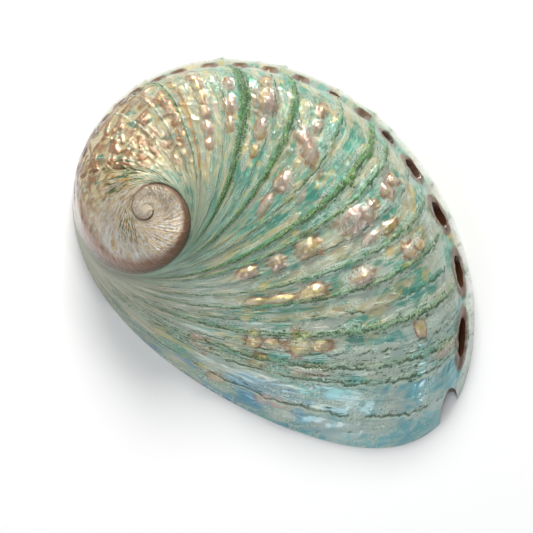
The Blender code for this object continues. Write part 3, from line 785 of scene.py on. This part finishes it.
# Closes the shell: a flat ground rim and the hollow inside it, in rings round the middle
def closeShell(points, faces, boundary):
    p = inside
    tree = BVHTree.FromPolygons([Vector(v) for v in points], faces)
    edge = points[boundary][:, :2]
    tangent = np.roll(edge, -1, axis=0) - np.roll(edge, 1, axis=0)
    tangent /= np.linalg.norm(tangent, axis=1, keepdims=True) + 1e-9
    inner = edge + np.stack([-tangent[:, 1], tangent[:, 0]], axis=1) * p["rimWidth"]
    bearing = np.unwrap(np.arctan2(inner[:, 1], inner[:, 0]))
    wanted = bearing[0] + np.arange(p["spokes"]) * (2.0 * math.pi / p["spokes"])
    reach = np.interp(wanted, bearing, np.hypot(inner[:, 0], inner[:, 1]), period=2.0 * math.pi)
    inner = np.stack([reach * np.cos(wanted), reach * np.sin(wanted)], axis=1)
    away = np.abs((wanted - p["ledgeMiddle"] + math.pi) % (2.0 * math.pi) - math.pi)
    ledge = np.clip(1.6 - 1.6 * away / p["ledgeSpread"], 0.0, 1.0)
    ledge = ledge * ledge * (3.0 - 2.0 * ledge)
    shares = np.cos(np.linspace(0.0, 0.5 * math.pi, p["rings"] + 1))[:-1]
    rings = np.zeros((p["rings"], p["spokes"], 3))
    for ring, share in enumerate(shares):
        rings[ring, :, :2] = inner * share
        if ring:
            for k, (x, y) in enumerate(inner * share):
                fromRim = math.hypot(*(inner[k] * (1.0 - share)))
                rings[ring, k, 2] = hollowHeight(tree, x, y, fromRim, ledge[k])
    for _ in range(p["smoothing"]):
        heights = rings[..., 2]
        around = 0.5 * (np.roll(heights, 1, axis=1) + np.roll(heights, -1, axis=1))
        heights[1:] += 0.5 * (around - heights)[1:]
        heights[2:-1] += 0.25 * (0.5 * (heights[1:-2] + heights[3:]) - heights[2:-1])
    count = len(points)
    spokes = p["spokes"]
    loops = [list(range(count + r * spokes, count + (r + 1) * spokes)) for r in range(p["rings"])]
    top = (0.0, 0.0, float(rings[-1, :, 2].mean()))
    everything = np.vstack([points, rings.reshape(-1, 3), [top]])
    outerAt = np.unwrap(np.arctan2(edge[:, 1], edge[:, 0]))
    start = int(np.argmin(np.abs((outerAt - wanted[0] + math.pi) % (2.0 * math.pi) - math.pi)))
    outerLine = boundary[start:] + boundary[:start + 1]
    ringAt = np.unwrap(np.arctan2(everything[outerLine][:, 1], everything[outerLine][:, 0]))
    innerAt = list(wanted - wanted[0]) + [2.0 * math.pi]
    rimFaces, bowlFaces = [], []
    stitch(rimFaces, outerLine, list(ringAt - ringAt[0]), loops[0] + loops[0][:1], innerAt)
    for outer, within in zip(loops, loops[1:]):
        for k in range(spokes):
            after = (k + 1) % spokes
            bowlFaces.append((outer[k], within[k], within[after], outer[after]))
    tip = len(everything) - 1
    for k in range(spokes):
        bowlFaces.append((loops[-1][k], tip, loops[-1][(k + 1) % spokes]))
    return everything, rimFaces, bowlFaces


def buildShell():
    surface = surfaceGroup()
    values, faces, boundary, firstWhorl = growthSheet()
    sheet = sheetObject(values, faces)
    rows = [(age * deg, height * mm, green, rust) for age, height, green, rust in pauses]
    pausePoints = listedPoints("pauses", rows, ("age", "height", "green", "rust"))
    rows = [(age * deg, across, length * mm, width * mm, lean * deg)
            for age, row in knobRows.items() for across, length, width, lean in row]
    knobPoints = listedPoints("knobs", rows, ("age", "across", "length", "width", "lean"))
    holes = [(age * deg, length * mm, width * mm, 0, 0) for age, length, width in openHoles]
    holes += [(age * deg, piercing["Closed Hole Length"], piercing["Closed Hole Width"], 1, 0)
              for age in closedHoles]
    labels = ("age", "length", "width", "closed", "notch")
    holePoints = listedPoints("holes", holes, labels)
    notch = (0.03, piercing["Notch Length"], piercing["Notch Width"], 0, 1)
    cutPoints = listedPoints("cuts", holes + [notch], labels)
    grow = growTree(surface)
    given = {**growth, **relief, "Pauses": pausePoints, "Knobs": knobPoints, "Holes": holePoints}

    # A first run tells where the shoulder lies, and from that where the side meets the ground
    first = places(runTree(sheet, grow, given))
    index, columns = firstWhorl["index"], firstWhorl["columns"]
    shoulderColumn = columns.index((1.0, 0.0))
    angles = footAngles(first[index[:, shoulderColumn]])
    footAngle = np.zeros(len(values), dtype=np.float32)
    for j in range(shoulderColumn + 1, len(columns)):
        footAngle[index[:-1, j]] = angles[:-1]
    footAngle[index[-1, shoulderColumn + 1:-1]] = angles[-1]
    sheet.data.attributes["footAngle"].data.foreach_set("value", footAngle)
    outer = runTree(sheet, grow, given)
    print("grown:", len(outer.polygons), "faces outside")

    points = places(outer)
    points[boundary, 2] = 0.0
    outer.vertices.foreach_set("co", points.ravel())
    outerObject = newObject("outside", outer)
    everything, rimFaces, bowlFaces = closeShell(points, faces, boundary)
    print("closed:", len(rimFaces), "rim faces,", len(bowlFaces), "inside")
    mesh = bpy.data.meshes.new("shellNacre")
    mesh.from_pydata([tuple(v) for v in everything], [], faces + rimFaces + bowlFaces)
    for name in ("outer nacre", "ground rim", "inner nacre"):
        mesh.materials.append(bpy.data.materials[name])
    slots = [0] * len(faces) + [1] * len(rimFaces) + [2] * len(bowlFaces)
    mesh.polygons.foreach_set("material_index", slots)
    mesh.polygons.foreach_set("use_smooth", [True] * len(slots))
    shell = newObject("shellNacre", mesh)
    given = {**growth, **piercing, "Holes": cutPoints, "Outside": outerObject}
    pierced = runTree(shell, pierceTree(surface), given)
    middle = 0.5 * (everything.min(axis=0) + everything.max(axis=0))
    middle[2] = 0.0
    final = places(pierced) - middle
    pierced.vertices.foreach_set("co", final.ravel())
    pierced.update()
    shell.data = pierced
    for helper in (sheet, outerObject, pausePoints, knobPoints, holePoints, cutPoints):
        bpy.data.objects.remove(helper, do_unlink=True)
    pierced.shade_smooth()
    pierced.set_sharp_from_angle(angle=60.0 * deg)
    print("pierced:", len(pierced.polygons), "faces, middle", [round(v * 1000, 3) for v in middle])
    return shell


# Colour on screen, from 0 to 255, as the shader wants it
def shade(red, green, blue):
    def straight(value):
        value /= 255.0
        return value / 12.92 if value <= 0.04045 else ((value + 0.055) / 1.055) ** 2.4
    return (straight(red), straight(green), straight(blue), 1.0)


def mixColour(factor, first, second):
    return addNode(factor.tree, "ShaderNodeMix", {0: factor, 6: first, 7: second}, 2, data_type="RGBA")


def newMaterial(name):
    material = bpy.data.materials.new(name)
    material.use_nodes = True
    return material, material.node_tree, material.node_tree.nodes["Principled BSDF"]


def shaderAttribute(tree, name):
    return addNode(tree, "ShaderNodeAttribute", {}, "Fac", attribute_name=name)


def bump(height, strength, distance):
    given = {"Strength": strength, "Distance": distance, "Height": height}
    return addNode(height.tree, "ShaderNodeBump", given)


nacreLook = {
    "teal": shade(92, 158, 136),
    "deepTeal": shade(46, 128, 108),
    "cyanTintAndSheen": shade(136, 192, 204),
    "mint": shade(208, 226, 206),
    "champagne": shade(196, 180, 138),
    "olive": shade(164, 166, 142),
    "ash": shade(196, 200, 188),
    "shell": shade(202, 190, 172),
    "blue": shade(84, 142, 172),
    "taupe": shade(98, 92, 70),
    "pinkBrown": shade(148, 100, 66),
    "rose": shade(204, 164, 152),
    "goldGlint": shade(218, 190, 112),
    "brown": shade(104, 70, 44),
    "keel": shade(136, 92, 62),
    "darkGreen": shade(18, 76, 6),
    "grass": shade(92, 156, 62),
    "rust": shade(200, 134, 20),
    "beige": shade(196, 176, 140),
    "pearlAndGlint": shade(214, 212, 208),
    "roughness": 0.30,
    "coat": 1.0,
    "coatRoughness": 0.035,
    "relief": (0.8, 0.4 * mm),
    "coatRelief": (0.45, 0.35 * mm),
}


def outerNacre():
    look = nacreLook
    material, tree, shader = newMaterial("outer nacre")
    age, across, down, line, rust, edge, knob, rim, fold = (shaderAttribute(tree, name)
                                                            for name in patternNames)
    grown = grownPlace(age, across, down, 3.0)

    def marks(*given):
        return streaks(grown, *given)

    def paint(factor, name):
        nonlocal colour
        colour = mixColour(factor, colour, look[name])

    # Broad colour from the age, then streaks and blotches that follow the growth lines
    broad = marks(0.05, 0.03, 0.0, 2.0, 0.55)
    warmth = aged(age + (broad - 0.5) * 0.9, 105.0, 150.0)
    colour = mixColour(warmth, look["teal"], look["champagne"])
    pale = between(marks(0.20, 0.035, 7.0, 4.0, 0.6, 0.5), 0.44, 0.60)
    paint(pale * 0.8, "champagne")
    blotch = marks(0.16, 0.05, 11.0, 4.0, 0.62, 0.6)
    deep = between(blotch, 0.48, 0.64) * (1.0 - warmth * 0.8)
    paint(deep * 0.8, "deepTeal")
    # The gold and rose blotches are painted glints of the nacre's shifting colour
    goldGlintMask = between(marks(0.25, 0.09, 19.0, 3.0, 0.6, 0.6), 0.54, 0.68)
    paint(goldGlintMask * 0.7, "goldGlint")
    roseGlintMask = between(marks(0.18, 0.06, 23.0, 3.0, 0.6, 0.6), 0.56, 0.70)
    paint(roseGlintMask * 0.5, "rose")
    # Cyan towards the lip and the row of holes is partly the nacre's own tint and partly a painted bluish
    # highlight
    front = aged(age, 34.0, 4.0) * between(across, 0.35, 0.8)
    paint(front * 0.75, "cyanTintAndSheen")
    ashen = between(marks(0.14, 0.05, 27.0, 3.0, 0.6, 0.5), 0.46, 0.56)
    ashen = ashen * aged(age, 70.0, 40.0)
    paint(ashen * 0.65, "ash")

    bluish = aged(age + (broad - 0.5) * 0.3, 16.0, 5.0) * bell(across, 0.42, 0.22, 4.0)
    paint(bluish * between(blotch, 0.44, 0.56) * 0.8, "blue")

    # The fan towards the suture is silky, olive grey, and dark at its foot
    fan = between(across + (marks(0.10, 0.03, 29.0, 2.0, 0.5) - 0.5) * 0.22, 0.42, 0.14)
    silk = marks(0.9, 0.012, 31.0)
    fanColour = mixColour(between(silk, 0.42, 0.60) * aged(age, 20.0, 90.0),
                          look["olive"], look["teal"])
    fanColour = mixColour(between(silk, 0.52, 0.44) * aged(age, 80.0, 40.0),
                          fanColour, look["shell"])
    colour = mixColour(fan * 0.8, colour, fanColour)
    foot = between(across + (silk - 0.5) * 0.16, 0.16, 0.05) * bell(age, 45.0 * deg, 26.0 * deg, 4.0)
    paint(foot * 0.75, "taupe")
    fine = marks(1.3, 0.035, 37.0, 3.0, 0.65)
    paint(between(fine, 0.50, 0.72) * 0.35, "mint")
    paint(between(fine, 0.48, 0.30) * 0.40, "deepTeal")

    # Wrinkles and green patches on the old, warm part
    green = between(marks(0.09, 0.08, 41.0, 3.0, 0.6, 0.8), 0.55, 0.62) * warmth
    paint(green * 0.8, "deepTeal")
    paint(fold * 0.85, "pinkBrown")

    # Knobs in rose and gold, partly their own tint and partly painted glint, with brown edges that are
    # partly their own outline and partly painted shade on their sides; brown hole rims and side
    ringedOutlineAndShade = bell(knob + (marks(0.7, 0.7, 39.0, 2.0, 0.5) - 0.5) * 0.7, 0.42, 0.20)
    knobTintAndGlint = mixColour(between(broad + silk, 0.9, 1.15), look["rose"], look["goldGlint"])
    colour = mixColour(between(knob, 0.05, 0.9) * 0.75, colour, knobTintAndGlint)
    ringedOutlineAndShade = ringedOutlineAndShade * between(knob, 0.05, 0.2) * between(silk + broad, 0.75, 1.05)
    paint(ringedOutlineAndShade * 0.8, "pinkBrown")
    sideBand = between(down + (marks(0.3, 0.1, 0.0, 3.0, 0.55) - 0.5) * 0.2, 0.05, 0.2)
    sideColour = mixColour(between(marks(0.22, 0.10, 0.0, 4.0, 0.6, 0.5), 0.40, 0.60), look["shell"],
                           look["mint"])
    sideColour = mixColour(aged(age, 50.0, 90.0) * 0.45, sideColour, look["taupe"])
    colour = mixColour(sideBand * 0.65, colour, sideColour)
    paint(between(rim + (fine - 0.5) * 0.5, 0.35, 0.75) * 0.9, "brown")

    # Crust in mint grains, torn edges and dashed strands where growth stopped
    lineZone = between(across + (broad - 0.5) * 0.25, 0.10, 0.24) * between(across, 0.99, 0.93)
    lineZone = clamped(lineZone + between(down, 0.12, 0.3) * 0.7)
    grain = marks(2.2, 1.3, 43.0, 4.0, 0.7, 0.3)
    patch = marks(0.32, 0.09, 45.0, 5.0, 0.68, 0.6)
    patchy = between(patch + between(line, 0.0, 0.8) * 0.05, 0.48, 0.62)
    patchy = patchy * aged(age, 190.0, 140.0) * lineZone
    crusted = patchy * between(grain, 0.42, 0.54)
    paint(crusted * 0.75, "mint")
    grit = patchy * between(grain, 0.42, 0.34)
    paint(grit * 0.7, "darkGreen")
    torn = edge + (marks(0.8, 0.5, 49.0, 4.0, 0.7) - 0.5) * 1.6
    lineStrength = between(line, 0.02, 0.25) * lineZone
    lineStrength = lineStrength * between(marks(0.05, 0.12, 51.0, 2.0, 0.5), 0.43, 0.55)
    weave = between(marks(1.1, 0.7, 46.0, 4.0, 0.7), 0.38, 0.56)
    grassy = between(line, 0.3, 1.0) * lineZone * weave * aged(age, -20.0, 60.0)
    paint(grassy, "grass")
    paleEdge = bell(torn, -0.55, 0.5) * lineStrength
    paint(paleEdge * 0.8, "mint")
    strand = marks(1.5, 0.20, 47.0, 4.0, 0.65)
    beads = marks(1.2, 1.1, 53.0, 2.0)
    dark = between(strand + line * 0.12, 0.60, 0.68) * between(line, 0.06, 0.2)
    dark = dark * between(beads, 0.40, 0.54) * lineZone
    dark = clamped(dark + bell(torn, 0.05, 0.28) * lineStrength * between(beads, 0.30, 0.42))
    paint(dark * 0.9, "darkGreen")
    hollow = between(marks(0.9, 0.6, 59.0, 4.0, 0.7), 0.63, 0.68) * lineZone * (1.0 - warmth * 0.5)
    paint(hollow * 0.55, "darkGreen")
    orange = between(rust + (beads - 0.5) * 0.9, 0.45, 0.7) * between(strand, 0.42, 0.54)
    orange = orange * bell(across, 0.55, 0.24, 4.0)
    paint(orange * 0.9, "rust")

    # The small old whorls are smooth and beige, with green flecks and a brown keel
    old = aged(age + (broad - 0.5) * 0.8, 206.0, 262.0)
    clusters = bell(age, 218.0 * deg, 24.0 * deg, 4.0) + bell(age, 302.0 * deg, 24.0 * deg, 4.0)
    flecks = between(marks(0.30, 0.07, 61.0, 4.0, 0.65), 0.50, 0.56) * between(across, 0.62, 0.40)
    flecks = clamped(flecks * clusters * between(across, 0.06, 0.14) * 1.6)
    pale = between(marks(0.16, 0.10, 67.0, 3.0, 0.6, 0.5), 0.45, 0.62)
    tip = mixColour(pale, look["beige"], look["pearlAndGlint"])
    stained = between(marks(0.22, 0.08, 69.0, 3.0, 0.6, 0.5), 0.52, 0.62)
    tip = mixColour(stained * 0.7, tip, look["pinkBrown"])
    ridgesAndGlints = between(marks(0.30, 0.012, 63.0, 3.0, 0.6, 0.3), 0.42, 0.60)
    ridgesAndGlints = ridgesAndGlints * old * between(across, 0.35, 0.6)
    # The pale pearl on the radial ridges round age 290 is a painted highlight
    tip = mixColour(ridgesAndGlints * bell(age, 290.0 * deg, 40.0 * deg, 4.0) * 0.8, tip, look["pearlAndGlint"])
    colour = mixColour(old * 0.9, colour, tip)
    paint(flecks * 0.9, "darkGreen")
    tinge = flecks * between(marks(0.10, 0.06, 65.0, 2.0, 0.5), 0.56, 0.60)
    paint(tinge * 0.8, "rust")
    keel = between(across + (broad - 0.5) * 0.2, 0.68, 0.86) * aged(age, 196.0, 236.0)
    paint(keel, "keel")
    ring = bell(across, 0.99, 0.05) * aged(age, 206.0, 240.0)
    paint(ring * 0.8, "brown")

    height = fine * 0.45 + marks(0.8, 0.8, 71.0, 4.0) * 0.30 + patchy * 0.25 + crusted * 0.45
    height = height + paleEdge * 0.5 - dark * 0.8 - hollow * 0.5 + ridgesAndGlints * 1.5 - grassy * 0.3
    polish = fine * 0.55 + marks(0.35, 0.2, 73.0) * 0.5
    polish = polish + crusted * 0.3 - dark * 0.35 + ridgesAndGlints * 1.6
    pearly = 0.30 + clamped(knob + fold + old * 0.6) * 0.35 - clamped(crusted + dark) * 0.28
    feedAll(shader, {
        "Base Color": colour,
        "Roughness": crusted * 0.25 + dark * 0.2 + look["roughness"],
        "Metallic": pearly,
        "Normal": bump(height, *look["relief"]),
        "Coat Weight": look["coat"],
        "Coat Roughness": look["coatRoughness"],
        "Coat Normal": bump(polish, *look["coatRelief"]),
    })
    arrange(tree)


pearlLook = {
    "silver": shade(206, 204, 196),
    "rose": shade(208, 160, 172),
    "green": shade(132, 190, 168),
    "blue": shade(140, 168, 206),
    "holeShade": shade(70, 46, 30),
    "roughness": 0.22,
    "metallic": 0.45,
    "coat": 0.6,
    "coatRoughness": 0.08,
}


def innerNacre():
    look = pearlLook
    material, tree, shader = newMaterial("inner nacre")
    place = addNode(tree, "ShaderNodeTexCoord", {}, "Object")
    swirl = noise(place, 28.0, 3.0, 0.55, 2.2)
    bands = noise(plus(place, (0.2, 0.1, 0.0)), 60.0, 3.0, 0.5, 3.0)
    colour = mixColour(between(swirl, 0.42, 0.62), look["silver"], look["rose"])
    colour = mixColour(between(bands, 0.46, 0.60), colour, look["green"])
    colour = mixColour(between(bands, 0.58, 0.70) * 0.8, colour, look["blue"])
    # The dark brown on the inside under the holes is painted shade
    colour = mixColour(between(shaderAttribute(tree, "rim"), 0.02, 0.5), colour, look["holeShade"])
    ripple = noise(place, 130.0, 3.0, 0.6, 0.6)
    feedAll(shader, {
        "Base Color": colour,
        "Roughness": look["roughness"],
        "Metallic": look["metallic"],
        "Normal": bump(ripple, 0.25, 0.5 * mm),
        "Coat Weight": look["coat"],
        "Coat Roughness": look["coatRoughness"],
    })
    arrange(tree)


plainLook = {
    "ground rim": (shade(196, 186, 160), shade(150, 160, 130)),
    "hole wall": (shade(92, 58, 36), shade(60, 36, 22)),
}


def rimAndWall():
    for name, (pale, dark) in plainLook.items():
        material, tree, shader = newMaterial(name)
        place = addNode(tree, "ShaderNodeTexCoord", {}, "Object")
        layers = noise(vector("MULTIPLY", place, (300.0, 300.0, 1400.0)), 1.0, 3.0, 0.6)
        feedAll(shader, {"Base Color": mixColour(layers, pale, dark), "Normal": bump(layers, 0.3, 0.3 * mm),
                         "Roughness": 0.35, "Coat Weight": 0.5, "Coat Roughness": 0.1})
        arrange(tree)


# The photograph looks down on the shell from a little to the right of its front
camera = {
    "azimuth": 38.0 * deg,
    "elevation": 76.0 * deg,
    "distance": 0.847,
    "aim": (-2.42 * mm, -5.33 * mm, 0.0),
    "lens": 175.6,
    "shift": (-0.0066, -0.0216),
}


# Unit vector from the middle of the scene towards an azimuth and elevation
def towards(azimuth, elevation):
    flat = math.cos(elevation)
    return Vector((math.sin(azimuth) * flat, -math.cos(azimuth) * flat, math.sin(elevation)))


def placeCamera():
    look = towards(camera["azimuth"], camera["elevation"])
    data = bpy.data.cameras.new("camera")
    holder = newObject("camera", data)
    holder.location = Vector(camera["aim"]) + look * camera["distance"]
    holder.rotation_euler = (-look).to_track_quat("-Z", "Y").to_euler()
    data.lens = camera["lens"]
    data.shift_x, data.shift_y = camera["shift"]
    data.clip_start = 0.01
    bpy.context.scene.camera = holder


# Soft lights: azimuth and elevation in degrees, distance, size, power and tint
lights = {
    "key": (222.0, 37.0, 1.1, (0.50, 0.36), 13.5, (1.0, 0.98, 0.95)),
    "strip": (203.0, 70.0, 1.1, (0.30, 0.04), 1.2, (1.0, 1.0, 1.0)),
    "window": (86.0, 29.0, 1.0, (0.10, 0.18), 1.0, (0.72, 0.88, 1.0)),
    "front": (14.0, 32.0, 1.3, (0.9, 0.5), 4.4, (0.88, 0.95, 1.0)),
    "side": (290.0, 40.0, 1.2, (0.5, 0.5), 1.4, (1.0, 0.96, 0.92)),
}
worldStrength = 0.27


def placeLights():
    for name, (azimuth, elevation, distance, (width, tall), power, tint) in lights.items():
        out = towards(azimuth * deg, elevation * deg)
        data = bpy.data.lights.new(name, "AREA")
        data.shape = "RECTANGLE"
        data.size, data.size_y, data.energy, data.color = width, tall, power, tint
        lamp = newObject(name, data)
        lamp.location = out * distance
        lamp.rotation_euler = (-out).to_track_quat("-Z", "Y").to_euler()
    world = bpy.data.worlds.new("studio")
    world.use_nodes = True
    sky = world.node_tree.nodes["Background"]
    feedAll(sky, {"Color": (1.0, 1.0, 1.0, 1.0), "Strength": worldStrength})
    bpy.context.scene.world = world
    bpy.context.scene.view_settings.view_transform = "Standard"


# Half its width in m, how far it lies below the rim, its colour and roughness
floorLook = {"reach": 3.0, "below": 0.1 * mm, "colour": (0.88, 0.88, 0.88, 1.0), "roughness": 0.8}


def layFloor():
    mesh = bpy.data.meshes.new("floor")
    reach = floorLook["reach"]
    corners = [(x * reach, y * reach, 0.0) for x, y in ((-1, -1), (1, -1), (1, 1), (-1, 1))]
    mesh.from_pydata(corners, [], [(0, 1, 2, 3)])
    floor = newObject("floor", mesh)
    floor.location.z = -floorLook["below"]
    material, tree, shader = newMaterial("pale floor")
    feedAll(shader, {"Base Color": floorLook["colour"], "Roughness": floorLook["roughness"]})
    mesh.materials.append(material)


outerNacre()
innerNacre()
rimAndWall()
print("materials made")
shell = buildShell()
placeCamera()
placeLights()
layFloor()
print("camera, lights and floor placed")

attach(shell, "root")
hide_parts("abalone_shell")
